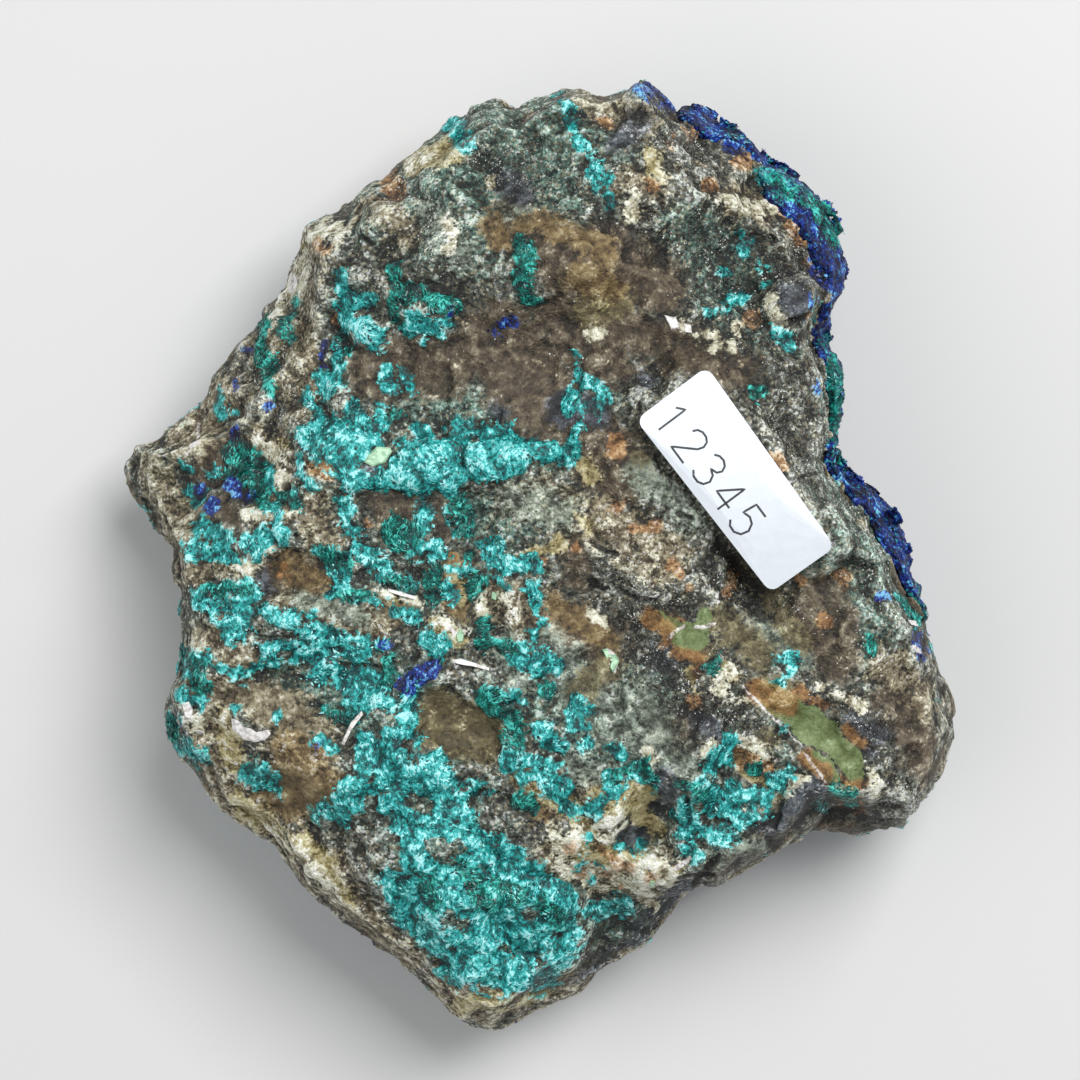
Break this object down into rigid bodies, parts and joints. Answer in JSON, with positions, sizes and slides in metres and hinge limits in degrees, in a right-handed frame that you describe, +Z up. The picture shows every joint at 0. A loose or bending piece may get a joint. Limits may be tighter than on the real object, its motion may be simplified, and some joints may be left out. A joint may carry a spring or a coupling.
{
  "type": "azurite specimen",
  "caption": "Hand-sized broken stone with malachite crusts on its back, azurite crystals round one edge and a small paper label.",
  "frame": {"origin": "on the surface the stone lies on, under the middle of its box", "axes": "+Z up, from the crystal side that it lies on to the labelled back; +Y along its length, to the edge above the label; +X to the edge with the azurite crust"},
  "size_m": [0.0784, 0.0894, 0.0319],
  "materials": {
    "stone": "rough broken rock",
    "azurite": "glassy crystals",
    "malachite": "dull to silky crust",
    "paper": "matt"
  },
  "bodies": {
    "root": {"stone": "stone", "azurite_crust": "azurite", "malachite_tip": "malachite", "malachite_rib": "malachite", "malachite_flank": "malachite", "label": "paper"}
  },
  "joints": []
}
